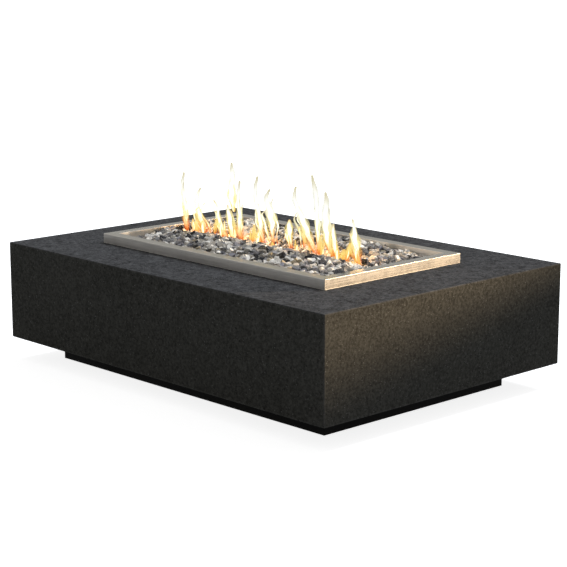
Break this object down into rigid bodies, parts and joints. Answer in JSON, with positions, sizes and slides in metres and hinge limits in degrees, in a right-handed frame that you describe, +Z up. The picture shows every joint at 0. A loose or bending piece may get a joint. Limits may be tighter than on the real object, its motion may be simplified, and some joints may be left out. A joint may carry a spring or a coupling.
{
  "type": "gas fire pit",
  "caption": "Low rectangular gas fire pit: cast concrete body on a recessed plinth, raised brushed steel rim, stone bed over a linear burner, controls in the rear face.",
  "frame": {"origin": "on the ground, under the middle of the plinth", "axes": "+X along the long side, +Y towards the rear face with the controls, +Z up"},
  "size_m": [1.524, 1.067, 0.684],
  "materials": {
    "concrete": "cast, fine sandy, matt",
    "plinth_paint": "black powder coat, satin",
    "zinc_steel": "zinc plated",
    "pad_rubber": "matt",
    "stainless": "brushed along its length",
    "lava": "rough, porous",
    "stones": "broken, matt, mixed greys, white and black",
    "flame": "burning gas",
    "cast_iron": "as cast",
    "shutter_steel": "plain",
    "brass": "machined",
    "hose_braid": "braided cover",
    "black_plastic": "fine texture",
    "button_plastic": "moulded",
    "plug_plastic": "moulded",
    "ceramic": "unglazed",
    "lead_rubber": "silicone",
    "copper": "drawn copper"
  },
  "bodies": {
    "pit": {"air_mixer": "cast_iron", "bracket_rivets": "stainless", "bracket_screws": "zinc_steel", "burner_brackets": "stainless", "burner_hose": "hose_braid", "burner_nipple": "zinc_steel", "burner_pan": "stainless", "burner_tube": "stainless", "concrete_shell": "concrete", "control_box": "stainless", "corner_gussets": "plinth_paint", "cross_rails": "plinth_paint", "electrode_insulator": "ceramic", "fire_stones": "stones", "flames": "flame", "foot_nuts": "zinc_steel", "gas_valve": "brass", "hose_nuts": "brass", "igniter_lead": "lead_rubber", "igniter_module": "black_plastic", "igniter_nut": "black_plastic", "inlet_bracket": "zinc_steel", "inlet_fitting": "brass", "inlet_locknut": "brass", "lava_fill": "lava", "nipple_locknut": "zinc_steel", "orifice_fitting": "brass", "panel_anchors": "plug_plastic", "panel_screws": "stainless", "plinth_front_rail": "plinth_paint", "plinth_left_rail": "plinth_paint", "plinth_rear_rail": "plinth_paint", "plinth_right_rail": "plinth_paint", "rim_frame": "stainless", "sensor_bracket": "stainless", "shell_bolts": "zinc_steel", "shell_inserts": "zinc_steel", "shell_pads": "pad_rubber", "spark_electrode": "stainless", "supply_hose": "hose_braid", "thermocouple": "stainless", "thermocouple_lead": "copper", "valve_nut": "brass"},
    "valve_stem": {"valve_stem": "stainless"},
    "control_knob": {"control_knob": "black_plastic"},
    "igniter_button": {"igniter_button": "button_plastic"},
    "air_shutter": {"air_shutter": "shutter_steel"},
    "foot_front_left": {"levelling_foot_front_left": "zinc_steel"},
    "foot_rear_left": {"levelling_foot_rear_left": "zinc_steel"},
    "foot_front_right": {"levelling_foot_front_right": "zinc_steel"},
    "foot_rear_right": {"levelling_foot_rear_right": "zinc_steel"}
  },
  "joints": [
    {"name": "valve_turn", "type": "hinge", "parent": "pit", "child": "valve_stem", "pos_m": [0.048, 0.4875, 0.24], "axis": [0, 1, 0], "range_deg": [-90, 90]},
    {"name": "knob_press", "type": "slide", "parent": "valve_stem", "child": "control_knob", "axis": [0, -1, 0], "range_m": [0, 0.004], "stiffness_N_per_m": 800},
    {"name": "igniter_press", "type": "slide", "parent": "pit", "child": "igniter_button", "axis": [0, -1, 0], "range_m": [0, 0.005], "stiffness_N_per_m": 1000},
    {"name": "air_shutter_turn", "type": "hinge", "parent": "pit", "child": "air_shutter", "pos_m": [0, 0, 0.249], "axis": [0, 0, 1], "range_deg": [0, 80]},
    {"name": "foot_front_left_screw", "type": "slide", "parent": "pit", "child": "foot_front_left", "axis": [0, 0, -1], "range_m": [0, 0.02]},
    {"name": "foot_rear_left_screw", "type": "slide", "parent": "pit", "child": "foot_rear_left", "axis": [0, 0, -1], "range_m": [0, 0.02]},
    {"name": "foot_front_right_screw", "type": "slide", "parent": "pit", "child": "foot_front_right", "axis": [0, 0, -1], "range_m": [0, 0.02]},
    {"name": "foot_rear_right_screw", "type": "slide", "parent": "pit", "child": "foot_rear_right", "axis": [0, 0, -1], "range_m": [0, 0.02]}
  ]
}
